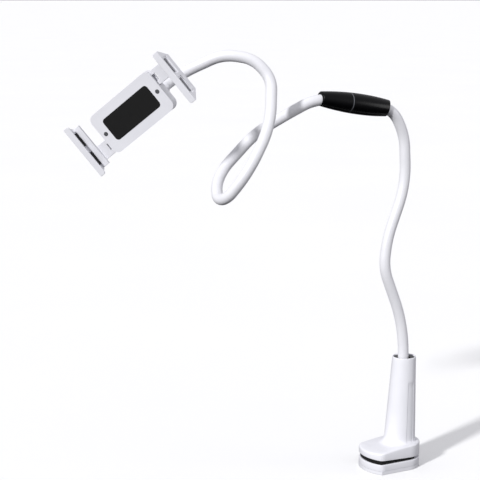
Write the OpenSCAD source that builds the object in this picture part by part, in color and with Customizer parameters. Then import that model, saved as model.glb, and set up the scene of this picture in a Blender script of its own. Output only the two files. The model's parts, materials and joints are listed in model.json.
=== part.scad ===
// Clamp-on gooseneck holder for a phone or small tablet, millimetres, +Z up.
// The origin is on the underside of the foot, below the middle of the column.
// The jaws open toward -X and the arm reaches out over the desk in -X.

/* [Clamp foot] */
// Width of both jaws across the desk edge
jaw_width = 52; // [48:1:56]
// Reach of the jaws from the column axis to their front edge
jaw_reach = 56; // [52:1:60]
// Height of the column top above the underside of the foot
column_height = 138; // [132:1:144]
// Outside diameter of the column at its top
column_top_d = 29; // [28:0.5:31]
// Height of the clamp spring, which allows the jaws to open this far with the coils closed
clamp_spring_length = 49; // [40:1:52]

/* [Neck] */
// Outside diameter of the gooseneck sleeve
neck_d = 13; // [12:0.5:13.5]
// Diameter of the coiled steel hose inside the sleeve
core_d = 8.6; // [7:0.2:9]
// Largest diameter of the hand grip between the two necks
grip_d = 24.6; // [24:0.2:27]
// Overall length of the hand grip
grip_length = 99; // [95:1:104]

/* [Cradle] */
// Width of the device that the jaws stand open for
device_width = 134.8; // [130:0.2:140]
// Thickness of the device under the front lips
device_thickness = 7.4; // [6:0.2:10]
// Length of each jaw along the edge of the device
jaw_length = 65; // [60:1:70]

/* [Hidden] */
$fn = 64;
bend_fn = 36;

// foot heights, from the underside up
cover_top = 4;
lower_jaw_top = 12;
rear_radius = 20.5;
front_radius = 46;
upper_jaw_base = 17.5;
upper_jaw_rear_base = 14.6;
upper_jaw_top = 27;
pad_rear = 3;

// column, which leans its front face outward toward the foot
column_lean = 2.58;
column_foot_d = 38.6;
column_foot_z = 28;
neck_x = -1.5;
mouth_depth = 2.6;
socket_z = 110.2;
socket_r = 11.1;
ferrule_z = 110.6;
ferrule_floor = 2.6;
crimp_gap = 0.1;

// rear slide of the lower jaw and its spring rod
slide_x = 7.5;
slide_half = 12;
slide_top = 109;
slide_gap = 0.35;
rod_x = -2;
rod_r = 2;
spring_low = 33;
spring_high = spring_low + clamp_spring_length;

neck_r = neck_d / 2;
core_r = core_d / 2;
bead = 0.05;
lap = 0.3;
ease = 0.9;
cup_gap = 0.35;
cup_back = 2.4;
core_stop = 9;

// grip axis, tilted up toward the cradle
grip_tilt = 9;
grip_mid = [-79, 0, 452];
grip_dir = [-cos(grip_tilt), 0, sin(grip_tilt)];
grip_half = grip_length / 2;
grip_fat = -6;
grip_bow = 370;
grip_seam = 8;

// cradle frame: centre of the ball joint, +x across the device, +z toward the user
cradle_mid = [-341, 26, 458];
cradle_turn = [103.6, -37, -54.1];
ball_r = 8.5;
stud_base = 22;
last_bend = [-283, 50, 489];
stud_dir = (last_bend - cradle_mid) / norm(last_bend - cradle_mid);

// corner points of the two necks; each corner is rounded by an arc
lower_route = [
    [neck_x, 0, ferrule_z + ferrule_floor],
    [neck_x, 0, 176],
    [-33, 0, 252],
    [-28, 0, 288],
    [-3, 0, 351],
    [-6, 0, 411],
    grip_mid - 56 * grip_dir,
    grip_mid - 20 * grip_dir
];
upper_route = [
    grip_mid + 20 * grip_dir,
    grip_mid + 52 * grip_dir,
    [-170, 6, 441],
    [-200, 21, 421],
    [-247, 30, 372],
    [-265, -12, 343],
    [-241, -37, 385],
    [-210, -31, 435],
    [-198, -13, 485],
    [-214, 0, 507],
    [-243, 19, 512],
    last_bend,
    cradle_mid + stud_base * stud_dir
];
// segments of each route that hold a bending joint at their middle
lower_joints = [1, 3, 4];
upper_joints = [2, 4, 6, 8, 10];

// cradle heights along its z, from the ball centre toward the device
house_back = 19;
seat_z = 31;
house_half = 46;
house_width = 50;
arm_bar_z = 22.4;
arm_bar_t = 4;
arm_bar_y = 13;
arm_bar_w = 18;
arm_bar_end = 15;
pad_t = 1.6;
jaw_t = 3.6;
device_gap = 0.3;
// step between the arm bar and the jaw, slot in the bar, and post that holds the guide rod
step_w = 8.5;
slot_length = 62;
post_x = 28.4;
rod_tail = 32;
pad_face = device_width / 2 + device_gap;
jaw_face = pad_face + pad_t;
lip_z = seat_z + device_thickness + 0.4;
lip_t = 2;

// ---------- shared shapes ----------

function unit(v) = v / norm(v);
function frame_of(x, y, p) = let (z = cross(x, y))
    [[x[0], y[0], z[0], p[0]], [x[1], y[1], z[1], p[1]], [x[2], y[2], z[2], p[2]], [0, 0, 0, 1]];
function side_of(d) = unit(cross(abs(d[2]) < 0.9 ? [0, 0, 1] : [0, 1, 0], d));

// stands its children, drawn along +Z, on point p facing direction d
module stand(p, d) {
    x = side_of(d);
    multmatrix(frame_of(x, cross(d, x), p)) children();
}

// tangent length used by the arc at corner i of route r
function reach(r, i) = ease * min(
    norm(r[i] - r[i - 1]) * (i == 1 ? 1 : 0.5),
    norm(r[i + 1] - r[i]) * (i == len(r) - 2 ? 1 : 0.5)
);
function leg_start(r, i) = i == 0 ? r[0] : r[i] + reach(r, i) * unit(r[i + 1] - r[i]);
function leg_end(r, i) =
    i == len(r) - 2 ? r[i + 1] : r[i + 1] - reach(r, i + 1) * unit(r[i + 1] - r[i]);

// round bar of radius q along route r: straight legs joined by tangent arcs,
// shortened along its path by ta at the start and tb at the end
module bar_along(r, q, ta = 0, tb = 0, $fn = bend_fn) {
    last = len(r) - 2;
    first_leg = norm(leg_end(r, 0) - r[0]);
    last_leg = norm(r[last + 1] - leg_start(r, last));
    for (i = [0 : last]) {
        u = unit(r[i + 1] - r[i]);
        a = leg_start(r, i) + (i == 0 ? min(ta, first_leg) : 0) * u;
        b = leg_end(r, i) - (i == last ? min(tb, last_leg) : 0) * u;
        // each leg is a hair fatter than the arcs and laps over them
        low = i == 0 ? 0 : lap;
        high = i == last ? 0 : lap;
        if (norm(b - a) > 0.05)
            stand(a - low * u, u) cylinder(h = norm(b - a) + low + high, r = q + bead);
    }
    for (i = [1 : last]) {
        back = unit(r[i - 1] - r[i]);
        on = unit(r[i + 1] - r[i]);
        turn = 180 - acos(back * on);
        d = reach(r, i);
        bend = d / tan(turn / 2);
        mid = r[i] + unit(back + on) * norm([bend, d]);
        start = r[i] + d * back;
        from = i == 1 ? max(0, ta - first_leg) / bend * 180 / PI : 0;
        cut = i == last ? max(0, tb - last_leg) / bend * 180 / PI : 0;
        multmatrix(frame_of(unit(start - mid), -back, mid)) rotate([0, 0, from])
            rotate_extrude(angle = turn - from - cut)
                translate([bend, 0]) circle(r = q);
    }
}

// part of a route between two of its joints, each at the middle of a segment
function mid_leg(r, i) = (r[i] + r[i + 1]) / 2;
function link_route(r, js, k) = concat(
    k == 0 ? [r[0]] : [mid_leg(r, js[k - 1])],
    [for (i = [(k == 0 ? 1 : js[k - 1] + 1) : (k == len(js) ? len(r) - 2 : js[k])]) r[i]],
    k == len(js) ? [r[len(r) - 1]] : [mid_leg(r, js[k])]
);

// one length of sleeve: a ball at its far end, a matching cup at its near end
module sleeve_link(r, has_cup, has_ball, open_bore, $fn = bend_fn) {
    last = len(r) - 1;
    difference() {
        union() {
            bar_along(r, neck_r);
            if (has_ball) translate(r[last]) sphere(r = neck_r);
        }
        if (has_cup) {
            translate(r[0]) sphere(r = neck_r + cup_gap);
            stand(r[0] - 2 * unit(r[1] - r[0]), unit(r[1] - r[0]))
                cylinder(h = 2 + cup_back, r = neck_r + 2);
        }
        // hollow for the hose, closed behind the ball and, unless open, before the cup
        difference() {
            bar_along(r, core_r + 0.15);
            if (!open_bore) translate(r[0]) sphere(r = core_stop - 0.15);
            translate(r[last]) sphere(r = core_stop - 0.15);
        }
    }
}

module hex_bar(flats, h) {
    cylinder(h = h, r = flats / sqrt(3), $fn = 6);
}

// compression spring between z = 0 and z = h
module coil(mid_r, wire_r, turns, h) {
    linear_extrude(height = h, twist = -360 * turns, slices = turns * 12, $fn = 8)
        translate([mid_r, 0]) scale([1, 2.6]) circle(r = wire_r);
}

// ---------- clamp foot ----------

// outline of both jaws: round rear, straight sides, bowed front edge
module jaw_outline(inset) {
    half = jaw_width / 2 - inset;
    intersection() {
        union() {
            translate([-6, 0]) circle(r = half);
            translate([-jaw_reach - 10, -half]) square([jaw_reach + 4, 2 * half]);
        }
        translate([front_radius + inset - jaw_reach, 0]) circle(r = front_radius);
    }
}

module column_cone(extra) {
    intersection() {
        translate([0, 0, column_height]) rotate([0, column_lean, 0])
            translate([0, 0, column_foot_z - 8 - column_height])
                cylinder(
                    h = column_height - column_foot_z + 12,
                    r1 = column_foot_d / 2 + 0.5 + extra,
                    r2 = column_top_d / 2 - 0.2 + extra
                );
        translate([-60, -60, upper_jaw_rear_base])
            cube([120, 120, column_height - upper_jaw_rear_base]);
    }
}

// rear slide and the channel that it runs in
module slide_bar(gap, low, high) {
    translate([slide_x - gap, -slide_half - gap, low])
        cube([30, 2 * (slide_half + gap), high - low]);
}

module clamp_housing() color("white") difference() {
    union() {
        column_cone(0);
        // upper jaw, thinner toward its front edge
        intersection() {
            linear_extrude(height = 60) jaw_outline(0);
            rotate([90, 0, 0]) translate([0, 0, -40]) linear_extrude(height = 80) polygon([
                [-jaw_reach - 1, upper_jaw_base],
                [24, upper_jaw_rear_base],
                [24, upper_jaw_top + 5],
                [-14, upper_jaw_top + 4],
                [-jaw_reach - 1, upper_jaw_top - 2]
            ]);
        }
    }
    // channel for the rear slide, open at the back
    slide_bar(slide_gap, 0, slide_top + 0.4);
    // spring chamber
    translate([rod_x, 0, spring_low - 0.4]) cylinder(h = spring_high - spring_low + 7, r = 8);
    translate([rod_x, 0, 0]) cylinder(h = 60, r = rod_r + 0.3);
    translate([rod_x, -5, spring_high - 3]) cube([slide_x - rod_x, 10, 10]);
    translate([rod_x, -5, spring_low - 0.4]) cube([slide_x - rod_x, 10, 52]);
    // socket for the neck
    translate([neck_x, 0, socket_z]) cylinder(h = 60, r = socket_r + 0.2);
    translate([0, 0, column_height - mouth_depth]) cylinder(h = 10, r = column_top_d / 2 - 1.3);
    // pocket for the upper pad
    upper_pad_wedge(0.1);
}

module upper_pad_wedge(gap) {
    difference() {
        intersection() {
            linear_extrude(height = 30) jaw_outline(2.4 - gap);
            rotate([90, 0, 0]) translate([0, 0, -40]) linear_extrude(height = 80) polygon([
                [-jaw_reach - 1, 13.5],
                [pad_rear, 13.5],
                [pad_rear, 15.6 + gap],
                [-jaw_reach - 1, 18.6 + gap]
            ]);
        }
        translate([rod_x, 0, 0]) cylinder(h = 30, r = rod_r + 1 - gap);
    }
}

module upper_jaw_pad() color([0.05, 0.05, 0.05]) upper_pad_wedge(0);

module lower_jaw_frame() color("white") difference() {
    union() {
        translate([0, 0, cover_top + 0.05]) linear_extrude(height = lower_jaw_top - cover_top)
            jaw_outline(0.2);
        // slide up the back of the column, flush with its surface
        intersection() {
            column_cone(0);
            slide_bar(0, upper_jaw_rear_base, slide_top);
        }
        intersection() {
            translate([0, 0, cover_top + 0.05])
                linear_extrude(height = upper_jaw_top - cover_top + 4) circle(r = rear_radius);
            slide_bar(0, 0, 60);
        }
    }
    // pocket for the lower pad
    translate([0, 0, lower_jaw_top - 0.8]) linear_extrude(height = 1.2) intersection() {
        jaw_outline(2.3);
        translate([-80, -40]) square([80.1 + pad_rear, 80]);
    }
    // rod seat
    translate([rod_x, 0, 0]) cylinder(h = 40, r = rod_r + 0.1);
    translate([rod_x, 0, 0]) cylinder(h = 8, r = 4.2);
    // cored-out middle of the slide
    translate([slide_x + 2.4, -slide_half + 2.6, lower_jaw_top + 4])
        cube([4, 2 * slide_half - 5.2, slide_top - lower_jaw_top - 7]);
    // screw holes for the cover
    for (p = cover_screw_at) translate([p[0], p[1], 0]) cylinder(h = 9.6, r = 1.35);
}

cover_screw_at = [[-42, 15], [-42, -15], [4, 17], [4, -17]];

module lower_jaw_pad() color([0.05, 0.05, 0.05]) difference() {
    translate([0, 0, lower_jaw_top - 0.75]) linear_extrude(height = 2.15) intersection() {
        jaw_outline(2.4);
        translate([-80, -40]) square([80 + pad_rear, 80]);
    }
    translate([rod_x, 0, 0]) cylinder(h = 30, r = rod_r + 1);
}

module lower_jaw_cover() color("white") difference() {
    union() {
        linear_extrude(height = cover_top) jaw_outline(0.2);
        intersection() {
            linear_extrude(height = cover_top) circle(r = rear_radius);
            slide_bar(0, 0, 60);
        }
    }
    for (p = cover_screw_at) translate([p[0], p[1], -1]) {
        cylinder(h = 8, r = 1.6);
        cylinder(h = 3, r = 3);
    }
}

module cover_screws() color("silver") for (p = cover_screw_at) translate([p[0], p[1], 0.4])
    difference() {
        union() {
            cylinder(h = 1.5, r = 2.8);
            cylinder(h = 8.6, r = 1.3);
        }
        for (a = [0, 90]) rotate(a) translate([-1.6, -0.3, -0.1]) cube([3.2, 0.6, 0.8]);
    }

module clamp_rod() color("silver") translate([rod_x, 0, 4.6]) {
    cylinder(h = spring_high + 6.6 - 4.6, r = rod_r);
    cylinder(h = 3, r = 4);
}

module clamp_spring() color("silver") translate([rod_x, 0, spring_low])
    coil(4.6, 0.6, 9, spring_high - spring_low - 0.1);

module rod_washer() color("silver") translate([rod_x, 0, spring_high]) difference() {
    cylinder(h = 1.2, r = 6.5);
    translate([0, 0, -1]) cylinder(h = 4, r = rod_r + 0.1);
}

module rod_nut() color("silver") translate([rod_x, 0, spring_high + 1.3]) difference() {
    hex_bar(7, 3.2);
    translate([0, 0, -1]) cylinder(h = 6, r = rod_r + 0.05);
}

// ---------- neck socket in the column top ----------

set_screw_z = 119;

module neck_bushing() color([0.04, 0.04, 0.04]) difference() {
    union() {
        translate([neck_x, 0, socket_z + 0.2])
            cylinder(h = column_height - mouth_depth - socket_z, r = socket_r);
        // flange just under the rim of the column
        translate([0, 0, column_height - mouth_depth + 0.1])
            cylinder(h = 1.2, r = column_top_d / 2 - 1.4);
    }
    translate([neck_x, 0, socket_z - 5]) cylinder(h = 60, r = 8.4);
    for (a = [90, -90]) translate([neck_x, 0, set_screw_z]) rotate([0, 90, a])
        cylinder(h = 20, r = 1.8);
}

module neck_set_screws() color("silver") for (a = [90, -90])
    translate([neck_x, 0, set_screw_z]) rotate([0, 90, a]) translate([0, 0, 8.35]) difference() {
        cylinder(h = 2.6, r = 1.7);
        translate([0, 0, 1.4]) hex_bar(1.5, 2);
    }

module column_ferrule() color("silver") translate([neck_x, 0, ferrule_z]) difference() {
    cylinder(h = 20, r = 8.3);
    translate([0, 0, ferrule_floor]) cylinder(h = 40, r = neck_r + crimp_gap);
}

// ---------- necks: a sleeve over a coiled steel hose that ends short of each joint ----------

module lower_sleeve(k) color([0.93, 0.93, 0.93])
    sleeve_link(link_route(lower_route, lower_joints, k), k > 0, k < len(lower_joints), false);
module lower_core(k) color([0.55, 0.55, 0.57])
    bar_along(link_route(lower_route, lower_joints, k), core_r, core_stop, core_stop);
module upper_sleeve(k) color([0.93, 0.93, 0.93])
    sleeve_link(link_route(upper_route, upper_joints, k), k > 0, k < len(upper_joints), k == 1);
module upper_core(k) color([0.55, 0.55, 0.57])
    bar_along(link_route(upper_route, upper_joints, k), core_r, core_stop, core_stop);

module lower_neck_sleeve_1() lower_sleeve(0);
module lower_neck_sleeve_2() lower_sleeve(1);
module lower_neck_sleeve_3() lower_sleeve(2);
module lower_neck_sleeve_4() lower_sleeve(3);
module lower_neck_core_1() lower_core(0);
module lower_neck_core_2() lower_core(1);
module lower_neck_core_3() lower_core(2);
module lower_neck_core_4() lower_core(3);
module upper_neck_sleeve_1() upper_sleeve(0);
module upper_neck_sleeve_2() upper_sleeve(1);
module upper_neck_sleeve_3() upper_sleeve(2);
module upper_neck_sleeve_4() upper_sleeve(3);
module upper_neck_sleeve_5() upper_sleeve(4);
module upper_neck_sleeve_6() upper_sleeve(5);
module upper_neck_core_1() upper_core(0);
module upper_neck_core_2() upper_core(1);
module upper_neck_core_3() upper_core(2);
module upper_neck_core_4() upper_core(3);
module upper_neck_core_5() upper_core(4);
module upper_neck_core_6() upper_core(5);

// ---------- hand grip ----------

// children drawn along +Z from the middle of the grip toward the cradle
module in_grip() stand(grip_mid, grip_dir) children();

// long barrel shape, fattest at grip_fat, domed at its cradle end
module barrel() intersection() {
    rotate_extrude() intersection() {
        translate([grip_d / 2 - grip_bow, grip_fat]) circle(r = grip_bow, $fn = 1400);
        translate([0, -grip_half]) square([40, grip_length]);
    }
    translate([0, 0, grip_half - 15]) union() {
        sphere(r = 15);
        translate([0, 0, -2 * grip_length]) cylinder(h = 2 * grip_length + 4, r = 30);
    }
}

module grip_bore() {
    in_grip() translate([0, 0, -33]) cylinder(h = 66, r = 8.6);
    bar_along(link_route(lower_route, lower_joints, len(lower_joints)), neck_r + 0.3);
    bar_along(link_route(upper_route, upper_joints, 0), neck_r + 0.3);
}

module grip_shell_rear() color([0.04, 0.04, 0.04]) difference() {
    in_grip() intersection() {
        barrel();
        translate([0, 0, -60]) cylinder(h = 60 + grip_seam - 0.2, r = 40);
    }
    grip_bore();
}

module grip_shell_front() color([0.04, 0.04, 0.04]) difference() {
    in_grip() intersection() {
        barrel();
        translate([0, 0, grip_seam + 0.2]) cylinder(h = 60, r = 40);
    }
    grip_bore();
}

// crimped cup on the end of a neck, with a threaded stub
module grip_cup() difference() {
    union() {
        translate([0, 0, 13]) cylinder(h = 18, r = 8.3);
        translate([0, 0, 1]) cylinder(h = 12.5, r = 5);
    }
    translate([0, 0, 19.8]) cylinder(h = 20, r = neck_r + crimp_gap);
}

module grip_ferrule_upper() color("silver") in_grip() grip_cup();
module grip_ferrule_lower() color("silver") in_grip() mirror([0, 0, 1]) grip_cup();

module grip_coupler() color([0.75, 0.6, 0.3]) in_grip() difference() {
    translate([0, 0, -12.6]) cylinder(h = 25.2, r = 8.2);
    translate([0, 0, -20]) cylinder(h = 40, r = 5.15);
}

// ---------- ball joint ----------

module in_cradle() translate(cradle_mid) rotate(cradle_turn) children();

module cradle_ferrule() color([0.9, 0.9, 0.9]) stand(cradle_mid, stud_dir) difference() {
    translate([0, 0, 17]) cylinder(h = 25, r = 8.2);
    translate([0, 0, stud_base - 0.2]) cylinder(h = 30, r = neck_r + crimp_gap);
    translate([0, 0, 10]) cylinder(h = 20, r = 3.05);
}

module ball_stud() color("silver") {
    translate(cradle_mid) sphere(r = ball_r);
    stand(cradle_mid, stud_dir) cylinder(h = stud_base - 0.4, r = 3);
}

// thin friction shell around the ball, open toward the neck
module ball_shell(inner, outer) difference() {
    sphere(r = outer);
    sphere(r = inner);
    translate([0, 0, -20]) cylinder(h = 20 - outer * cos(62), r = 20);
    translate([0, 0, outer * cos(32)]) cylinder(h = 20, r = 20);
}

module ball_liner_inner() color([0.2, 0.2, 0.2]) in_cradle() ball_shell(8.8, 9.5);
module ball_liner_outer() color([0.3, 0.3, 0.3]) in_cradle() ball_shell(9.8, 10.5);

module cradle_socket_nut() color([0.9, 0.9, 0.9]) in_cradle() difference() {
    union() {
        translate([0, 0, -5]) cylinder(h = 11, r = 16.2);
        for (i = [0 : 11]) rotate(i * 30) translate([16.2, 0, -5]) cylinder(h = 11, r = 0.9);
    }
    sphere(r = 10.8);
    translate([0, 0, -20]) cylinder(h = 20 - 4.6, r = 12);
    translate([0, 0, 1]) cylinder(h = 10, r = 13.65);
}

// ---------- cradle ----------

// rounded bar outline, half lengths a and b, corner radius r
module rounded_plate(a, b, r, h) {
    translate([-a + r, -b, 0]) cube([2 * a - 2 * r, 2 * b, h]);
    translate([-a, -b + r, 0]) cube([2 * a, 2 * b - 2 * r, h]);
    for (x = [-a + r, a - r], y = [-b + r, b - r]) translate([x, y, 0]) cylinder(h = h, r = r);
}

screw_at = [[-40, 0], [40, 0]];

module cradle_back_shell() color("white") in_cradle() {
    back_shell();
    for (a = [0, 180]) rotate(a) rod_post();
}

module back_shell() difference() {
    union() {
        translate([0, 0, house_back]) rounded_plate(house_half, house_width / 2, 8, 9.4);
        translate([0, 0, 1.2]) cylinder(h = house_back, r = 13.5);
        translate([0, 0, 14.5]) cylinder(h = 6, r1 = 14, r2 = 19.5);
    }
    sphere(r = 10.8);
    // channels for the two arm bars, each open at one end
    translate([-10, arm_bar_y - arm_bar_w / 2 - 0.3, arm_bar_z - 0.3])
        translate([-32, 0, 0]) cube([100, arm_bar_w / 2 - 0.5 + arm_bar_w / 2 + 0.8, 20]);
    translate([-58, -arm_bar_y - arm_bar_w / 2 - 0.3, arm_bar_z - 0.3])
        cube([100, arm_bar_w + 0.6, 20]);
    for (p = screw_at) translate([p[0], p[1], 22]) cylinder(h = 10, r = 1.1);
}

// post in the slot of each arm bar, bored for the guide rod
module rod_post() difference() {
    translate([post_x, arm_bar_y - 3, arm_bar_z - 0.6]) cube([2.8, 6, 4.8]);
    translate([post_x - 1, arm_bar_y, arm_bar_z + arm_bar_t / 2]) rotate([0, 90, 0])
        cylinder(h = 6, r = 1.05);
}

module cradle_front_cover() color("white") in_cradle() difference() {
    translate([0, 0, house_back + 9.5]) rounded_plate(house_half, house_width / 2, 8, 2.3);
    for (p = screw_at) translate([p[0], p[1], 20]) {
        cylinder(h = 20, r = 1.35);
        translate([0, 0, 9.9]) cylinder(h = 20, r = 2.5);
    }
    translate([0, 0, seat_z - 0.9]) rounded_plate(34.1, 14.1, 4.1, 5);
}

module cradle_seat_pad() color([0.06, 0.06, 0.06]) in_cradle()
    translate([0, 0, seat_z - 0.85]) rounded_plate(34, 14, 4, 0.85);

module cradle_screws() color("silver") in_cradle()
    for (p = screw_at) translate([p[0], p[1], 23]) {
        cylinder(h = 7, r = 1.05);
        translate([0, 0, 7]) difference() {
            cylinder(h = 0.7, r = 2.4);
            for (a = [0, 90]) rotate(a) translate([-1.5, -0.25, 0.3]) cube([3, 0.5, 1]);
        }
    }

// jaw wall with two slots, drawn for the +x side
module jaw_wall() difference() {
    union() {
        // wall along the edge of the device
        translate([jaw_face, -jaw_length / 2, seat_z - 4.6])
            cube([jaw_t, jaw_length, device_thickness + 4.6 + 0.4 + lip_t]);
        // lip over the front face
        translate([pad_face - 1.8, -jaw_length / 2, lip_z])
            cube([jaw_t + pad_t + 1.8, jaw_length, lip_t]);
        // step that carries the wall out from the arm bar
        translate([jaw_face - step_w, -jaw_length / 2 + 6, seat_z - 4.6])
            cube([step_w + 0.5, jaw_length - 12, 3.2]);
    }
    for (s = [-1, 1]) translate([jaw_face - 1, s * 13 - 9, seat_z + 0.4])
        cube([jaw_t + 2, 18, 5.2]);
    // bevelled ends
    for (s = [-1, 1]) translate([jaw_face + jaw_t, s * (jaw_length / 2 + 2.5), seat_z + 10])
        rotate([s * 0, 0, 45]) translate([-4, -4, -20]) cube([8, 8, 40]);
}

module arm(side) difference() {
    union() {
        jaw_wall();
        translate([-arm_bar_end, side * arm_bar_y - arm_bar_w / 2, arm_bar_z])
            cube([jaw_face + arm_bar_end + 0.5, arm_bar_w, arm_bar_t]);
        // upright that joins the bar to the jaw
        translate([jaw_face - step_w, side * arm_bar_y - arm_bar_w / 2, arm_bar_z])
            cube([step_w + 0.5, arm_bar_w, seat_z - 1.4 - arm_bar_z]);
    }
    // spring slot through the bar
    translate([-arm_bar_end + 3, side * arm_bar_y - 4, arm_bar_z - 1])
        cube([slot_length, 8, arm_bar_t + 2]);
    translate([-arm_bar_end - 1, side * arm_bar_y, arm_bar_z + arm_bar_t / 2]) rotate([0, 90, 0])
        cylinder(h = 6, r = 1.05);
}

module arm_right() color("white") in_cradle() arm(1);
module arm_left() color("white") in_cradle() rotate(180) arm(1);

module pad_strip() for (s = [-1, 1])
    translate([pad_face, s * 13 - 8.5, seat_z - 1]) cube([pad_t - 0.05, 17, 8]);

module jaw_pad_right() color([0.06, 0.06, 0.06]) in_cradle() pad_strip();
module jaw_pad_left() color([0.06, 0.06, 0.06]) in_cradle() rotate(180) pad_strip();

// guide rod and spring of one arm, from the bar's inner end to the end wall
module guide_rod() translate([-rod_tail, arm_bar_y, arm_bar_z + arm_bar_t / 2])
    rotate([0, 90, 0]) cylinder(h = rod_tail + post_x + 2.4, r = 1);

module spring_guide_rods() color("silver") in_cradle() for (a = [0, 180]) rotate(a) guide_rod();

module arm_spring() translate([-arm_bar_end + 3.2, arm_bar_y, arm_bar_z + arm_bar_t / 2])
    rotate([0, 90, 0]) coil(1.6, 0.25, 9, 40);

module arm_spring_right() color("silver") in_cradle() arm_spring();
module arm_spring_left() color("silver") in_cradle() rotate(180) arm_spring();

clamp_housing();
upper_jaw_pad();
lower_jaw_frame();
lower_jaw_pad();
lower_jaw_cover();
cover_screws();
clamp_rod();
clamp_spring();
rod_washer();
rod_nut();
neck_bushing();
neck_set_screws();
column_ferrule();
lower_neck_sleeve_1();
lower_neck_sleeve_2();
lower_neck_sleeve_3();
lower_neck_sleeve_4();
lower_neck_core_1();
lower_neck_core_2();
lower_neck_core_3();
lower_neck_core_4();
grip_shell_rear();
grip_shell_front();
grip_ferrule_lower();
grip_ferrule_upper();
grip_coupler();
upper_neck_sleeve_1();
upper_neck_sleeve_2();
upper_neck_sleeve_3();
upper_neck_sleeve_4();
upper_neck_sleeve_5();
upper_neck_sleeve_6();
upper_neck_core_1();
upper_neck_core_2();
upper_neck_core_3();
upper_neck_core_4();
upper_neck_core_5();
upper_neck_core_6();
cradle_ferrule();
ball_stud();
ball_liner_inner();
ball_liner_outer();
cradle_socket_nut();
cradle_back_shell();
cradle_front_cover();
cradle_seat_pad();
cradle_screws();
spring_guide_rods();
arm_left();
arm_right();
jaw_pad_left();
jaw_pad_right();
arm_spring_left();
arm_spring_right();
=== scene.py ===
# Clamp-on gooseneck holder for a phone or small tablet, in the row frame, metres.
import json
import math

import bmesh
import bpy
import numpy as np
from mathutils import Euler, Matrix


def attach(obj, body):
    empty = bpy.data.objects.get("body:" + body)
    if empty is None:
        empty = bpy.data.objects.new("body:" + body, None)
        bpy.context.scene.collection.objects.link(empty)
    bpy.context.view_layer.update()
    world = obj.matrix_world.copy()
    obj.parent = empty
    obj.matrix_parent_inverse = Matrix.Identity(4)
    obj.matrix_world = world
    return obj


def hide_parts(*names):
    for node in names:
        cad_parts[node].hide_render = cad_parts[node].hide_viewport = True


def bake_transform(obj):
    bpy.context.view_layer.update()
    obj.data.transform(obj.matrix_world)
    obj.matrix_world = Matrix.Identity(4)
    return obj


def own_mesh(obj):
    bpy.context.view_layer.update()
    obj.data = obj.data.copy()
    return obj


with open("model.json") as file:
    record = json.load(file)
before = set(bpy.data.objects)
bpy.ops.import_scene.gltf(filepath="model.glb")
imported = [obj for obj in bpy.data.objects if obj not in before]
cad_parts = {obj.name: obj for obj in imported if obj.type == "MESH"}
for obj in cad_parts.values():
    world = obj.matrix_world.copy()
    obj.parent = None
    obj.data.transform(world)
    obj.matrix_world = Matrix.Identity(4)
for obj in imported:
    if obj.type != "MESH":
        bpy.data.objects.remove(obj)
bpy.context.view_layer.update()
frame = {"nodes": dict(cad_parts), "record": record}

scene = bpy.context.scene

# ---------- camera ----------
# Seen from the desk side, a little above the grip, through a long lens that looks
# down by 10 degrees.
camera_data = bpy.data.cameras.new("camera")
camera = bpy.data.objects.new("camera", camera_data)
scene.collection.objects.link(camera)
scene.camera = camera
camera.location = (-1.0130, -1.4099, 0.5871)
camera.rotation_euler = (math.radians(80), 0, math.radians(-29))
camera_data.lens = 108
camera_data.sensor_width = 36
camera_data.clip_start = 0.05
camera_data.clip_end = 60
scene.view_settings.view_transform = "Standard"

MM = 0.001


# ---------- small helpers ----------
# Colours, vectors, material nodes, and closed meshes built from rings of points.
# Lengths of pieces are in mm; mesh_piece turns them to metres.
SHARP_DEG = 40
TURNED_SIDES = 96


def linear(hex_code):
    """sRGB hex such as "f2f2f0" to a linear RGBA tuple."""
    parts = [int(hex_code[i : i + 2], 16) / 255 for i in (0, 2, 4)]
    return tuple(
        p / 12.92 if p <= 0.04045 else ((p + 0.055) / 1.055) ** 2.4 for p in parts
    ) + (1.0,)


def unit(v):
    v = np.asarray(v, float)
    return v / np.linalg.norm(v)


def new_material(name):
    """Material, its node tree, its shader, and Object coordinates."""
    material = bpy.data.materials.new(name)
    material.use_nodes = True
    tree = material.node_tree
    shader = tree.nodes["Principled BSDF"]
    coords = tree.nodes.new("ShaderNodeTexCoord")
    return material, tree, shader, coords.outputs["Object"]


def add_node(tree, kind, settings=None, links=None):
    """Adds one node; links maps its input names to values or to output sockets."""
    node = tree.nodes.new(kind)
    for key, value in (settings or {}).items():
        setattr(node, key, value)
    for key, value in (links or {}).items():
        if isinstance(value, bpy.types.NodeSocket):
            tree.links.new(value, node.inputs[key])
        else:
            node.inputs[key].default_value = value
    return node


def mottled(
    name, low, high, rough, patch_mm, grain_mm, grain, rough_spread=0.08, **sockets
):
    """Plastic, rubber or metal: two close colours in patches, uneven gloss, fine grain."""
    material, tree, shader, coords = new_material(name)
    patches = add_node(
        tree,
        "ShaderNodeTexNoise",
        links={"Vector": coords, "Scale": 1000 / patch_mm, "Detail": 3.0},
    )
    tint = add_node(tree, "ShaderNodeMix", {"data_type": "RGBA"})
    tint.inputs[6].default_value = linear(low)
    tint.inputs[7].default_value = linear(high)
    tree.links.new(patches.outputs["Fac"], tint.inputs[0])
    tree.links.new(tint.outputs[2], shader.inputs["Base Color"])
    wear = add_node(
        tree,
        "ShaderNodeMapRange",
        links={
            "Value": patches.outputs["Fac"],
            "To Min": rough - rough_spread,
            "To Max": rough + rough_spread,
        },
    )
    tree.links.new(wear.outputs["Result"], shader.inputs["Roughness"])
    fine = add_node(
        tree,
        "ShaderNodeTexNoise",
        links={"Vector": coords, "Scale": 1000 / grain_mm, "Detail": 2.0},
    )
    bump = add_node(
        tree,
        "ShaderNodeBump",
        links={"Height": fine.outputs["Fac"], "Strength": grain, "Distance": 0.02 * MM},
    )
    tree.links.new(bump.outputs["Normal"], shader.inputs["Normal"])
    for key, value in sockets.items():
        shader.inputs[key.replace("_", " ")].default_value = value
    return material


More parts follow.
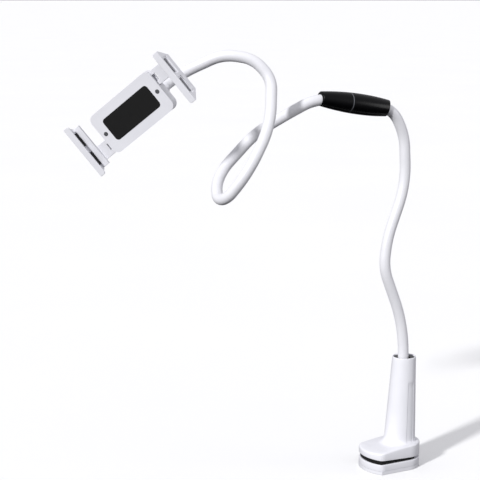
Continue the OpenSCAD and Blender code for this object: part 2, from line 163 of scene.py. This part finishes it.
def mesh_piece(name, points, faces, material):
    """Object at the origin from an (n, 3) array in mm and faces listed by corner."""
    mesh = bpy.data.meshes.new(name)
    mesh.from_pydata((np.asarray(points) * MM).tolist(), [], faces)
    mesh.validate()
    mesh.shade_smooth()
    mesh.set_sharp_from_angle(angle=math.radians(SHARP_DEG))
    mesh.materials.append(material)
    piece = bpy.data.objects.new(name, mesh)
    scene.collection.objects.link(piece)
    return piece


def grid_faces(rows, columns, flip):
    """Quads of a rows x columns tube, closed round its columns, with one flat face each end."""
    index = np.arange(rows * columns).reshape(rows, columns)
    right = np.roll(index, -1, axis=1)
    quads = np.stack([index[:-1], right[:-1], right[1:], index[1:]], axis=-1).reshape(-1, 4)
    faces = [list(map(int, q)) for q in quads]
    faces.append([int(i) for i in index[0][::-1]])
    faces.append([int(i) for i in index[-1]])
    return [f[::-1] for f in faces] if flip else faces


def tube_piece(name, rings, material, flip=False):
    """rings is (rows, columns, 3) in mm; columns run counter-clockwise seen from the last row."""
    rings = np.asarray(rings)
    rows, columns = rings.shape[:2]
    return mesh_piece(name, rings.reshape(-1, 3), grid_faces(rows, columns, flip), material)


def turned(profile, origin, axis):
    """Rings of a solid of revolution: profile rows are (distance along axis, radius)."""
    axis = unit(axis)
    side = unit(np.cross([0, 1, 0] if abs(axis[1]) < 0.9 else [1, 0, 0], axis))
    other = np.cross(axis, side)
    angle = np.arange(TURNED_SIDES) * 2 * math.pi / TURNED_SIDES
    circle = np.cos(angle)[:, None] * side + np.sin(angle)[:, None] * other
    profile = np.asarray(profile, float)
    along, radius = profile[:, 0], profile[:, 1]
    return (
        np.asarray(origin, float)
        + along[:, None, None] * axis
        + radius[:, None, None] * circle[None]
    )


def quarter(centre, radius, start_deg, end_deg, steps=6):
    """Arc points (u, v) about centre."""
    angle = np.radians(np.linspace(start_deg, end_deg, steps))
    return np.stack(
        [centre[0] + radius * np.cos(angle), centre[1] + radius * np.sin(angle)], axis=1
    )


# ---------- studio: floor, soft light ----------
# A plain pale floor, a soft low sun from the desk side, and a surround that is bright above
# and dim below. The floor doesn't bounce light, so undersides stay shaded.
floor_material, floor_tree, floor_shader, floor_coords = new_material("studio_floor")
floor_noise = add_node(
    floor_tree, "ShaderNodeTexNoise", links={"Vector": floor_coords, "Scale": 2.0, "Detail": 2.0}
)
floor_tint = add_node(floor_tree, "ShaderNodeMix", {"data_type": "RGBA"})
floor_tint.inputs[6].default_value = linear("fafafa")
floor_tint.inputs[7].default_value = linear("fdfdfd")
floor_tree.links.new(floor_noise.outputs["Fac"], floor_tint.inputs[0])
floor_tree.links.new(floor_tint.outputs[2], floor_shader.inputs["Base Color"])
floor_shader.inputs["Roughness"].default_value = 0.9
floor_shader.inputs["Specular IOR Level"].default_value = 0.1
FLOOR_HALF, FLOOR_Z = 90000, -0.3
corners = [(-1, -1), (1, -1), (1, 1), (-1, 1)]
floor_points = [(x * FLOOR_HALF, y * FLOOR_HALF, FLOOR_Z) for x, y in corners]
floor = mesh_piece("studio_floor", floor_points, [[0, 1, 2, 3]], floor_material)
floor.visible_diffuse = False
floor.visible_glossy = False

world = bpy.data.worlds.new("studio")
scene.world = world
world.use_nodes = True
sky = world.node_tree
sky_coords = add_node(sky, "ShaderNodeTexCoord")
height = add_node(
    sky, "ShaderNodeSeparateXYZ", links={"Vector": sky_coords.outputs["Generated"]}
)
bright = add_node(
    sky,
    "ShaderNodeMapRange",
    {"interpolation_type": "SMOOTHSTEP"},
    {
        "Value": height.outputs["Z"],
        "From Min": -0.8,
        "From Max": 0.5,
        "To Min": 0.02,
        "To Max": 0.66,
    },
)
sky.links.new(bright.outputs["Result"], sky.nodes["Background"].inputs["Strength"])
sky.nodes["Background"].inputs["Color"].default_value = linear("f8f8fd")


def soft_sun(name, toward, height_deg, energy, spread_deg):
    """Sun whose light travels along the horizontal direction toward, from height_deg up."""
    data = bpy.data.lights.new(name, "SUN")
    data.energy = energy
    data.angle = math.radians(spread_deg)
    light = bpy.data.objects.new(name, data)
    scene.collection.objects.link(light)
    turn = math.atan2(toward[1], toward[0]) - math.radians(90)
    light.rotation_euler = (math.radians(90 - height_deg), 0, turn)


soft_sun("key_sun", (0.92, 0.39), 26, 2.9, 5)
soft_sun("fill_sun", (-0.8, 0.6), 4, 0.75, 30)

# ---------- materials ----------
# Moulded ABS, soft vinyl sleeve, rubber, plated steel and brass, each slightly uneven.
# Every CAD node takes the material of its slot.
white_abs = mottled("white_abs", "dedee4", "e8e8ed", 0.34, 30, 0.5, 0.12)
sleeve_vinyl = mottled("sleeve_vinyl", "dddde2", "e8e8ec", 0.42, 22, 0.7, 0.2)
black_abs = mottled("black_abs", "101112", "18191b", 0.36, 20, 0.4, 0.15)
grip_satin = mottled(
    "grip_satin", "030304", "070709", 0.27, 18, 0.35, 0.15, 0.04, Specular_IOR_Level=0.16
)
rubber = mottled("rubber", "0a0a0a", "161616", 0.72, 6, 0.3, 0.5, Specular_IOR_Level=0.25)
steel = mottled("plated_steel", "a9abae", "c3c5c8", 0.26, 5, 0.2, 0.2, Metallic=1.0)
hose_steel = mottled("hose_steel", "85888c", "a3a6aa", 0.38, 4, 0.3, 0.4, Metallic=1.0)
brass = mottled("brass", "b08a48", "c9a35c", 0.3, 6, 0.2, 0.2, Metallic=1.0)
nylon = mottled("grey_nylon", "3d3e40", "4a4b4e", 0.5, 8, 0.3, 0.3)

slot_material = {
    "white_plastic": white_abs,
    "white_sleeve": sleeve_vinyl,
    "steel_hose": hose_steel,
    "black_plastic": black_abs,
    "grip_black": grip_satin,
    "black_rubber": rubber,
    "plated_steel": steel,
    "brass": brass,
    "grey_nylon": nylon,
}
slot_of = {part["node"]: part["material_slot"] for part in frame["record"]["subparts"]}
for node_name, cad_object in frame["nodes"].items():
    material = slot_material[slot_of[node_name]]
    for slot in cad_object.material_slots:
        slot.material = material
    if not cad_object.material_slots:
        cad_object.data.materials.append(material)

# ---------- necks ----------
# Two goosenecks: a white vinyl sleeve over a coiled steel hose, bent by hand into one loop
# and a long S. Each sleeve is one smooth tube, cut midway between joints into one length per joint.
NECK_R = 6.5
EASE = 0.9  # share of each half segment that its corner arc takes up
ARC_STEPS = 40
SLEEVE_SIDES = 48
COIL_WAVE, COIL_PITCH = 0.05, 3.4
SLOW_WAVE, SLOW_LENGTH = 0.07, 17
grip_dir = np.array([-math.cos(math.radians(9)), 0, math.sin(math.radians(9))])
grip_mid = np.array([-79.0, 0, 452])
ball = np.array([-341.0, 26, 458])
last_bend = np.array([-283.0, 50, 489])
stud_dir = unit(last_bend - ball)
lower_route = [
    (-1.5, 0, 113.2), (-1.5, 0, 176), (-33, 0, 252), (-28, 0, 288), (-3, 0, 351), (-6, 0, 411),
    grip_mid - 56 * grip_dir, grip_mid - 20 * grip_dir,
]
upper_route = [
    grip_mid + 20 * grip_dir, grip_mid + 52 * grip_dir, (-170, 6, 441), (-200, 21, 421),
    (-247, 30, 372), (-265, -12, 343), (-241, -37, 385), (-210, -31, 435), (-198, -13, 485),
    (-214, 0, 507), (-243, 19, 512), last_bend, ball + 22 * stud_dir,
]


def centreline(route, step=1.3):
    """Points along a route whose corners are rounded by tangent arcs, evenly spaced."""
    r = np.asarray(route, float)
    length = np.linalg.norm(np.diff(r, axis=0), axis=1)
    path = [r[0]]
    for i in range(1, len(r) - 1):
        back, on = unit(r[i - 1] - r[i]), unit(r[i + 1] - r[i])
        before = length[i - 1] * (1 if i == 1 else 0.5)
        after = length[i] * (1 if i == len(r) - 2 else 0.5)
        d = EASE * min(before, after)
        turn = math.pi - math.acos(float(back @ on))
        bend = d / math.tan(turn / 2)
        middle = r[i] + unit(back + on) * math.hypot(bend, d)
        x = unit(r[i] + d * back - middle)
        angle = np.linspace(0, turn, ARC_STEPS)[:, None]
        path.extend(middle + bend * (np.cos(angle) * x - np.sin(angle) * back))
    path.append(r[-1])
    path = np.asarray(path)
    run = np.concatenate([[0], np.cumsum(np.linalg.norm(np.diff(path, axis=0), axis=1))])
    even = np.linspace(0, run[-1], int(run[-1] / step))
    return np.stack([np.interp(even, run, path[:, k]) for k in range(3)], axis=1)


def sweep_frames(line):
    """Tangent and two normals carried along the line without twist."""
    tangent = np.gradient(line, axis=0)
    tangent /= np.linalg.norm(tangent, axis=1)[:, None]
    side = np.zeros_like(tangent)
    side[0] = unit(np.cross(tangent[0], [0, 1, 0.2]))
    for i in range(1, len(line)):
        side[i] = unit(side[i - 1] - (side[i - 1] @ tangent[i]) * tangent[i])
    return tangent, side, np.cross(tangent, side)


def joint_spot(route, segment):
    """Middle of a route segment and its direction."""
    a, b = np.asarray(route[segment], float), np.asarray(route[segment + 1], float)
    return (a + b) / 2, unit(b - a)


def neck_sleeve(prefix, route, joints):
    """Sleeve in one length per joint, with a faint waviness: the hose coils and a slow swell."""
    line = centreline(route)
    _, side, other = sweep_frames(line)
    run = np.concatenate([[0], np.cumsum(np.linalg.norm(np.diff(line, axis=0), axis=1))])
    spots = [joint_spot(route, segment) for segment in joints]
    at = [int(np.argmin(np.linalg.norm(line - spot, axis=1))) for spot, _ in spots]
    cuts = [0] + [(a + b) // 2 for a, b in zip(at[:-1], at[1:])] + [len(line) - 1]
    angle = np.arange(SLEEVE_SIDES) * 2 * math.pi / SLEEVE_SIDES
    coil = COIL_WAVE * np.sin(2 * math.pi * run[:, None] / COIL_PITCH - angle[None, :])
    slow = SLOW_WAVE * np.sin(run[:, None] / SLOW_LENGTH + 1.3 * np.cos(angle[None, :]))
    radius = (NECK_R + coil + slow)[:, :, None]
    rings = line[:, None] + radius * (
        np.cos(angle)[None, :, None] * side[:, None] + np.sin(angle)[None, :, None] * other[:, None]
    )
    for k, (spot, direction) in enumerate(spots):
        part = rings[cuts[k] : cuts[k + 1] + 1]
        piece = tube_piece(f"{prefix}_skin_{k + 1}", part, sleeve_vinyl)
        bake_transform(piece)
        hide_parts(*replaced_nodes(prefix, k, len(spots)))


def replaced_nodes(prefix, k, count):
    """CAD sleeves that length k stands for: the one past its joint, and the very first."""
    names = [f"{prefix}_{k + 2}"]
    return [f"{prefix}_1"] + names if k == 0 else names


neck_sleeve(
    "lower_neck_sleeve", lower_route, [1, 3, 4]
)
neck_sleeve(
    "upper_neck_sleeve",
    upper_route,
    [2, 4, 6, 8, 10],
)

# ---------- clamp column and upper jaw ----------
# One white ABS moulding: a leaning column that flares into the upper jaw of the clamp.
# It is drawn as two closed skins that share the flare; the back has the slide channel.
COLUMN_TOP, COLUMN_LEAN = 138.0, math.tan(math.radians(2.58))
SLOT_HALF, SLOT_X, SLOT_TOP = 12.35, 7.15, 109.4
FRONT_COLUMNS, BACK_COLUMNS = 260, 30
FOOT_R, FOOT_Z, COLUMN_RISE, COLUMN_NARROWING = 19.8, 20, 122, 5.5
PANEL_FROM_DEG, PANEL_TO_DEG, PANEL_EASE_DEG = 66, 99, 1.2
PANEL_LOW, PANEL_HIGH, PANEL_EASE, PANEL_DEPTH = 34, 108, 1.5, 0.45
FLARE_Z = 36
FACE_MARGIN = 6  # width of the flat band inside a rounded jaw edge
JAW_FRONT_X, JAW_REAR_X, JAW_LENGTH = -57, 24, 81
JAW_TOP_Z, JAW_TOP_RISE, JAW_UNDER_Z, JAW_UNDER_DROP = 25, 7, 17.5, 2.9


def column_radius(z):
    return FOOT_R - COLUMN_NARROWING * (z - FOOT_Z) / COLUMN_RISE


def column_centre(z):
    return -(COLUMN_TOP - z) * COLUMN_LEAN


def jaw_top(x):
    """Upper face of the upper jaw, which rises from its front edge to the rear."""
    back = np.clip((JAW_REAR_X - x) / JAW_LENGTH, 0, 1.2)
    return JAW_TOP_Z + JAW_TOP_RISE * (1 - back**2)


def jaw_underside(x):
    return JAW_UNDER_Z - (x - JAW_FRONT_X) * JAW_UNDER_DROP / JAW_LENGTH


def column_ring(z, radius, centre, slotted):
    """Closed ring in three runs: round the front, then across the back or along the channel."""
    corner = math.asin(min(SLOT_HALF / radius, 0.98))
    front = np.linspace(corner, 2 * math.pi - corner, FRONT_COLUMNS)
    back = np.linspace(-corner, corner, BACK_COLUMNS)
    # a shallow panel on each flank, eased at its edges
    from_back = np.degrees(np.minimum(front, 2 * math.pi - front))
    across = np.minimum(from_back - PANEL_FROM_DEG, PANEL_TO_DEG - from_back)
    inside = np.clip(across / PANEL_EASE_DEG, 0, 1)
    inside = inside * float(np.clip(min(z - PANEL_LOW, PANEL_HIGH - z) / PANEL_EASE, 0, 1))
    local = radius - PANEL_DEPTH * inside
    x, y = centre + local * np.cos(front), local * np.sin(front)
    if slotted:
        back_x = np.full(BACK_COLUMNS, SLOT_X)
        back_y = np.linspace(-SLOT_HALF, SLOT_HALF, BACK_COLUMNS)
    else:
        back_x, back_y = centre + radius * np.cos(back), radius * np.sin(back)
    level = np.full(FRONT_COLUMNS + BACK_COLUMNS, float(z))
    return np.stack([np.append(x, back_x), np.append(y, back_y), level], axis=1)


# from inside the mouth, over the rounded rim, down the outside, then out along the flare
rings = [column_ring(z, 11.3, -1.5, False) for z in (112, 124, 134.6)]
rings += [column_ring(135.2, 11.7, -1.2, False), column_ring(135.4, 12.6, -0.4, False)]
rings += [column_ring(135.8, 13.15, 0, False), column_ring(137.3, 13.2, 0, False)]
for u, v in quarter((13.85, 137.35), 0.63, 180, 0, 7):
    rings.append(column_ring(v, u, 0, False))
for z in np.linspace(136.5, SLOT_TOP, 10):
    rings.append(column_ring(z, column_radius(z), column_centre(z), False))
for z in (SLOT_TOP, 108, 106.5, 100, 90, 80, 70, 60, 50, 42, 38):
    rings.append(column_ring(z, column_radius(z), column_centre(z), True))
straight = column_ring(FLARE_Z, column_radius(FLARE_Z), column_centre(FLARE_Z), True)
middle = np.array([column_centre(FLARE_Z), 0])
outward = straight[:, :2] - middle
outward /= np.linalg.norm(outward, axis=1)[:, None]
facing = np.clip((1 - outward[:, 0]) / 2, 0, 1)
flare = 1.2 + 7.0 * facing**1.5
flare[FRONT_COLUMNS:] = 0.05
for angle in np.radians(np.linspace(0, 90, 10)):
    ring = straight.copy()
    ring[:, :2] += outward * (flare * (1 - math.cos(angle)))[:, None]
    top = jaw_top(ring[:, 0])
    ring[:, 2] = top - 0.05 + flare * (1 - math.sin(angle))
    slim = column_radius(ring[:, 2]) - column_radius(FLARE_Z)
    wide = slice(0, FRONT_COLUMNS)
    ring[wide, :2] += outward[wide] * slim[wide, None]
    ring[wide, 0] += column_centre(ring[wide, 2]) - column_centre(FLARE_Z)
    rings.append(ring)
ring = rings[-1].copy()
ring[:, 2] -= 4
rings.append(ring)
column = tube_piece("clamp_column", rings, white_abs, flip=True)
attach(column, "base")
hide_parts("clamp_housing")

# black bushing pressed into the mouth, its flange just below the white rim
profile = [(111, 8.4), (136.2, 8.4), (136.7, 8.9), (136.7, 12.7), (136.3, 13.1), (135.5, 13.1)]
profile += [(135.2, 11.1), (111, 11.1)]
bushing_rings = turned(profile, (-1.5, 0, 0), (0, 0, 1))
bushing_rings[2:6, :, 0] += 1.5
bushing = tube_piece("neck_bushing_flange", bushing_rings, black_abs)
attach(bushing, "base")
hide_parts("neck_bushing")


def jaw_outline(count=240):
    """Jaw plan: round rear, straight sides, bowed front edge, corners eased by 5 mm."""
    half, bow = 26.0, 46.0
    rear = np.linspace(-math.pi / 2, math.pi / 2, 60)
    pieces = [np.stack([-6 + half * np.cos(rear), half * np.sin(rear)], axis=1)]
    corner_x = -10 - math.sqrt(bow**2 - half**2)
    swing = math.asin(half / bow) - 0.11
    bowed = np.linspace(math.pi - swing, math.pi + swing, 60)
    front = np.stack([-10 + bow * np.cos(bowed), bow * np.sin(bowed)], axis=1)
    t = np.linspace(0, 1, 12)[1:-1, None]
    for sign, end in ((1, front[0]), (-1, front[-1])):
        begin, knee = np.array([corner_x + 5, sign * half]), np.array([corner_x, sign * half])
        curve = (1 - t) ** 2 * begin + 2 * t * (1 - t) * knee + t**2 * end
        eased = np.vstack([[begin], curve])
        pieces.append(eased if sign > 0 else eased[::-1])
    loop = np.vstack([pieces[0], pieces[1], front, pieces[2]])
    closed = np.vstack([loop, loop[:1]])
    run = np.concatenate([[0], np.cumsum(np.linalg.norm(np.diff(closed, axis=0), axis=1))])
    even = np.linspace(0, run[-1], count, endpoint=False)
    return np.stack([np.interp(even, run, closed[:, k]) for k in range(2)], axis=1)


def inset(loop, amount):
    """Loop moved inward along its own normals."""
    along = np.roll(loop, -1, axis=0) - np.roll(loop, 1, axis=0)
    normal = np.stack([along[:, 1], -along[:, 0]], axis=1)
    return loop - amount * normal / np.linalg.norm(normal, axis=1)[:, None]


def slab_rings(loop, bottom, top, low_edge, high_edge):
    """Plate between two heights, given as functions of x, with rounded edges."""
    low_arc = quarter((0, 0), low_edge, -90, 0)
    high_arc = quarter((0, 0), high_edge, 0, 90)
    lower = [(low_edge + FACE_MARGIN, 0)] + [(low_edge - u, low_edge + v) for u, v in low_arc]
    upper = [(high_edge - u, high_edge - v) for u, v in high_arc] + [(high_edge + FACE_MARGIN, 0)]
    rings = []
    for d, rise in lower:
        flat = inset(loop, d)
        rings.append(np.column_stack([flat, bottom(flat[:, 0]) + rise]))
    for d, drop in upper:
        flat = inset(loop, d)
        rings.append(np.column_stack([flat, top(flat[:, 0]) - drop]))
    return rings


jaw_plan = jaw_outline()
upper_rings = slab_rings(jaw_plan, jaw_underside, jaw_top, 0.8, 2.2)
upper_jaw = tube_piece("upper_jaw", upper_rings, white_abs)
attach(upper_jaw, "base")

# ---------- lower jaw ----------
# White ABS: a flat plate with rounded edges, and the slide that runs up the channel in the
# back of the column. The screwed cover under the plate is the CAD's own.
HUMP_R, HUMP_TOP, HUMP_FADE = 20.5, 25, 8
SLIDE_SIDES_OUT, SLIDE_SIDES_IN = 40, 20


def flat_at(height):
    """Level face at a height, as a function of x."""
    return lambda x: np.full_like(x, height)


lower_plan = inset(jaw_plan, 0.2)
lower_rings = slab_rings(lower_plan, flat_at(4.12), flat_at(12.0), 0.35, 0.9)
lower_plate = tube_piece("lower_jaw_plate", lower_rings, white_abs)
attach(lower_plate, "lower_jaw")
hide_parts("lower_jaw_frame")


def slide_ring(z, shrink=0.0):
    """D-shaped section: flat toward the channel, round outside, fatter below the column."""
    half, x_in = 12.0 - shrink, 7.5 + shrink
    y = np.linspace(-half, half, SLIDE_SIDES_OUT)
    cone = column_centre(z) + np.sqrt(np.maximum(column_radius(z) ** 2 - y**2, 1))
    hump = np.sqrt(HUMP_R**2 - y**2)
    fade = max(0.0, 1 - ((z - HUMP_TOP) / HUMP_FADE) ** 2)
    share = 1.0 if z < HUMP_TOP else math.sqrt(fade)
    outer = cone + (hump - cone) * share - shrink
    inner = np.linspace(half, -half, SLIDE_SIDES_IN)
    x = np.append(outer, np.full(SLIDE_SIDES_IN, x_in))
    return np.column_stack([x, np.append(y, inner), np.full(len(x), float(z))])


heights = [4.1, 4.4] + list(np.linspace(6, 24, 7)) + list(np.linspace(25, 33, 14))
heights += list(np.linspace(35, 108.2, 22))
rings = [slide_ring(z) for z in heights] + [slide_ring(108.7, 0.25), slide_ring(109.0, 0.8)]
slide = tube_piece("lower_jaw_slide", rings, white_abs)
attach(slide, "lower_jaw")

# ---------- hand grip ----------
# Two satin black shells over the ends of both necks, with a fine seam between them.
# The rear shell ends in a rolled mouth, the front one in a dome.
GRIP_FAT, GRIP_BOW, GRIP_R, GRIP_SEAM = -6.0, 370.0, 12.3, 8.0
DOME_START, DOME_R = 34.5, 15
MOUTH_SET_BACK, MOUTH_SLANT = 1.2, 3.6


def paint_seam_highlight(material, middle, direction, offset_mm, half_mm):
    """Painted highlight: paler colour within half_mm of the seam plane, offset_mm along direction,
    where the seam edge catches the light.
    """
    tree = material.node_tree
    shader = tree.nodes["Principled BSDF"]
    base = shader.inputs["Base Color"].links[0].from_socket
    coords = add_node(tree, "ShaderNodeTexCoord")
    along = add_node(
        tree,
        "ShaderNodeVectorMath",
        {"operation": "DOT_PRODUCT"},
        {0: coords.outputs["Object"], 1: tuple(float(v) for v in direction)},
    )
    seam_at = float(middle @ direction + offset_mm) * MM
    apart = add_node(
        tree, "ShaderNodeMath", {"operation": "SUBTRACT"}, {0: along.outputs["Value"], 1: seam_at}
    )
    away = add_node(tree, "ShaderNodeMath", {"operation": "ABSOLUTE"}, {0: apart.outputs["Value"]})
    share = add_node(
        tree,
        "ShaderNodeMapRange",
        links={
            "Value": away.outputs["Value"],
            "From Min": 0.5 * half_mm * MM,
            "From Max": half_mm * MM,
            "To Min": 1.0,
            "To Max": 0.0,
        },
    )
    mix = add_node(
        tree, "ShaderNodeMix", {"data_type": "RGBA"}, {0: share.outputs["Result"], 6: base}
    )
    # the pale grey is a painted highlight along the seam edge
    mix.inputs[7].default_value = linear("6a6b70")
    tree.links.new(mix.outputs[2], shader.inputs["Base Color"])


# painted highlight along the grip seam, in the grip material's colour
paint_seam_highlight(grip_satin, grip_mid, grip_dir, GRIP_SEAM, 0.9)


def barrel_radius(t):
    """Bowed barrel, fattest at GRIP_FAT, with a dome at its cradle end."""
    bowed = GRIP_R - GRIP_BOW + np.sqrt(GRIP_BOW**2 - (t - GRIP_FAT) ** 2)
    dome = np.sqrt(np.maximum(DOME_R**2 - (t - DOME_START) ** 2, 0))
    return np.where(t > DOME_START, np.minimum(bowed, dome), bowed)


lip = [
    (-49.0 - 0.5 * math.sin(a), 9.15 + 0.5 * math.cos(a))
    for a in np.radians([180, 150, 120, 90, 60, 30])
]
along = np.linspace(-49.0, GRIP_SEAM - 1.0, 46)
profile = [(-36, 6.6), (-36.2, 8.6)] + lip + [(t, float(barrel_radius(t))) for t in along]
edge = float(barrel_radius(GRIP_SEAM))
profile += [
    (GRIP_SEAM - 0.8, edge - 0.02), (GRIP_SEAM - 0.2, edge - 0.55), (GRIP_SEAM - 0.15, edge - 2)
]
rings = turned(profile, grip_mid, grip_dir)
# the mouth is cut on a slant, set back by up to 4.6 mm where it faces the front
outward = rings - rings.mean(axis=1, keepdims=True)
outward /= np.linalg.norm(outward, axis=2, keepdims=True)
near_mouth = np.clip((-30 - np.array([row[0] for row in profile])) / 19, 0, 1)[:, None]
facing = outward @ np.array([-0.3, 0.9, 0.3])
slant = near_mouth * (MOUTH_SET_BACK - MOUTH_SLANT * facing)
rings = rings + slant[:, :, None] * grip_dir
grip_rear = tube_piece("grip_rear", rings, grip_satin)
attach(grip_rear, "grip")
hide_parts("grip_shell_rear")

along = np.linspace(GRIP_SEAM + 1.0, 34.4, 20)
profile = [
    (GRIP_SEAM + 0.15, edge - 2), (GRIP_SEAM + 0.2, edge - 0.55), (GRIP_SEAM + 0.8, edge - 0.02)
]
profile += [(t, float(barrel_radius(t))) for t in along]
dome = DOME_START + 13.4 * np.sin(np.radians(np.linspace(2, 90, 16)))
profile += [(t, float(barrel_radius(t))) for t in dome]
profile += [(47.7, 6.62)]
grip_front = tube_piece("grip_front", turned(profile, grip_mid, grip_dir), grip_satin)
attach(grip_front, "grip")
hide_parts("grip_shell_front")

# ---------- cradle arms ----------
# White ABS: a flat slotted bar that slides in the housing, and a jaw whose wall has slanted
# ends, two windows with a shallow recess round each, and a thin lip over the device.
turn = Euler([math.radians(a) for a in (103.6, -37, -54.1)], "XYZ").to_matrix()
cradle_axes = np.array(turn)


def prism(outline, axis, low, high):
    """Closed prism: a flat outline pushed along x, y or z between low and high."""
    outline = np.asarray(outline, float)
    ends = [np.insert(outline, axis, value, axis=1) for value in (low, high)]
    return np.vstack(ends)


def block(x0, x1, y0, y1, z0, z1):
    return prism([(x0, y0), (x1, y0), (x1, y1), (x0, y1)], 2, z0, z1)


def solid_object(name, prisms, half_turn):
    """One mesh of several prisms, given in the cradle frame, turned to the row frame."""
    points, faces = [], []
    for corners in prisms:
        first, n = sum(len(p) for p in points), len(corners) // 2
        points.append(corners)
        faces.append([first + i for i in range(n)][::-1])
        faces.append([first + n + i for i in range(n)])
        for i in range(n):
            on = (i + 1) % n
            faces.append([first + i, first + on, first + n + on, first + n + i])
    local = np.vstack(points)
    if half_turn:
        local = local * np.array([-1, -1, 1])
    placed = ball + local @ cradle_axes.T
    made = mesh_piece(name, placed, faces, white_abs)
    shape = bmesh.new()
    shape.from_mesh(made.data)
    bmesh.ops.recalc_face_normals(shape, faces=shape.faces)
    shape.to_mesh(made.data)
    shape.free()
    return made


def cut_with(target, cutter):
    """Takes the cutter out of the target for good and deletes the cutter."""
    carve = target.modifiers.new("carve", "BOOLEAN")
    carve.operation, carve.object, carve.solver = "DIFFERENCE", cutter, "EXACT"
    evaluated = target.evaluated_get(bpy.context.evaluated_depsgraph_get())
    target.data = bpy.data.meshes.new_from_object(evaluated)
    target.modifiers.clear()
    bpy.data.objects.remove(cutter)


def soften(piece, width_mm):
    """Rounds every sharp edge by width_mm."""
    bevel = piece.modifiers.new("soft_edge", "BEVEL")
    bevel.width = width_mm * MM
    bevel.segments = 3
    bevel.limit_method = "ANGLE"
    bevel.angle_limit = math.radians(35)
    bevel.harden_normals = True


JAW_FACE, JAW_BACK, LIP_TOP = 69.3, 72.9, 40.8
WALL_HALF, FOOT_HALF, WALL_LOW, SLANT_TOP = 32.5, 23.0, 20.5, 38.0
WINDOW_Y = 13
wall_outline = [
    (-WALL_HALF, LIP_TOP), (-WALL_HALF, SLANT_TOP), (-FOOT_HALF, WALL_LOW),
    (FOOT_HALF, WALL_LOW), (WALL_HALF, SLANT_TOP), (WALL_HALF, LIP_TOP),
]
lip_outline = [
    (65.9, -31.0), (67.4, -WALL_HALF), (70, -WALL_HALF),
    (70, WALL_HALF), (67.4, WALL_HALF), (65.9, 31.0),
]
window_hole = (68, 74, 9.0, 30.2, 36.2)
window_recess = (72.0, 74, 10.8, 28.4, 38.0)
for side_name, half_turn in (("right", False), ("left", True)):
    wall_prism = prism(wall_outline, 0, JAW_FACE, JAW_BACK)
    wall = solid_object("jaw_wall_" + side_name, [wall_prism], half_turn)
    for low, high, half_y, z0, z1 in (window_hole, window_recess):
        windows = [
            block(low, high, s * WINDOW_Y - half_y, s * WINDOW_Y + half_y, z0, z1)
            for s in (-1, 1)
        ]
        cut_with(wall, solid_object("windows", windows, half_turn))
    bar = solid_object("arm_bar_" + side_name, [block(-15, 69.8, 4, 22, 22.4, 26.4)], half_turn)
    long_slot, rod_hole = block(-12, 50, 9, 17, 21, 28), block(-16, -11, 11.9, 14.1, 23.3, 25.5)
    cut_with(bar, solid_object("slot", [long_slot, rod_hole], half_turn))
    steps = [
        block(61.1, 69.5, 4.3, 21.7, 24.4, 29.1),
        block(60.8, 69.8, -26.5, 26.5, 26.4, 29.6),
        prism(lip_outline, 2, 38.8, LIP_TOP),
    ]
    step = solid_object("arm_step_" + side_name, steps, half_turn)
    for piece, width in ((wall, 0.6), (bar, 0.4), (step, 0.5)):
        soften(piece, width)
        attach(piece, side_name + "_arm")
    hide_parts("arm_" + side_name)

# ---------- springs ----------
# Coiled steel wire: one in the column round the clamp rod, one on the guide rod of each arm.
# The clamp coil closes solid before the far limit of its slide.
POINTS_PER_TURN, WIRE_SIDES = 28, 10
COIL_TURNS = 9
CLAMP_COIL_R, CLAMP_WIRE_R = 4.6, 0.6
ARM_COIL_R, ARM_WIRE_R = 1.6, 0.25


def spring_piece(name, start, end, coil_r, wire_r, turns):
    """Wire swept along a helix of radius coil_r from start to end, in row-frame mm."""
    start, end = np.asarray(start, float), np.asarray(end, float)
    length = np.linalg.norm(end - start)
    axis = (end - start) / length
    side = unit(np.cross(axis, [0.3, 1, 0.1]))
    other = np.cross(axis, side)
    t = np.linspace(0, 1, turns * POINTS_PER_TURN + 1)
    swing = 2 * math.pi * turns * t
    line = (
        start
        + (wire_r + t * (length - 2 * wire_r))[:, None] * axis
        + coil_r * (np.cos(swing)[:, None] * side + np.sin(swing)[:, None] * other)
    )
    _, across, up = sweep_frames(line)
    angle = np.arange(WIRE_SIDES) * 2 * math.pi / WIRE_SIDES
    rings = line[:, None] + wire_r * (
        np.cos(angle)[None, :, None] * across[:, None] + np.sin(angle)[None, :, None] * up[:, None]
    )
    return tube_piece(name, rings, steel)


clamp_coil = spring_piece(
    "clamp_spring_coil", (-2, 0, 33), (-2, 0, 81.9), CLAMP_COIL_R, CLAMP_WIRE_R, COIL_TURNS
)
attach(clamp_coil, "base")
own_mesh(clamp_coil)
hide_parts("clamp_spring")
for side_name, sign in (("right", 1), ("left", -1)):
    loose = ball + cradle_axes @ np.array([-11.8 * sign, 13 * sign, 24.4])
    fixed = ball + cradle_axes @ np.array([28.2 * sign, 13 * sign, 24.4])
    arm_coil = spring_piece(
        "arm_spring_coil_" + side_name, fixed, loose, ARM_COIL_R, ARM_WIRE_R, COIL_TURNS
    )
    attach(arm_coil, "cradle")
    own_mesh(arm_coil)
    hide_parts("arm_spring_" + side_name)

# ---------- cradle and the remaining moulded parts ----------
# CAD shapes with softened edges, as they leave the mould. Their meshes stay as they
# are; only a bevel modifier is added.
for node_name, width in (
    ("cradle_back_shell", 0.6), ("cradle_front_cover", 0.5), ("cradle_socket_nut", 0.4),
    ("cradle_ferrule", 0.4), ("lower_jaw_cover", 0.6), ("upper_jaw_pad", 0.3),
    ("lower_jaw_pad", 0.3), ("cradle_seat_pad", 0.3),
):
    soften(frame["nodes"][node_name], width)
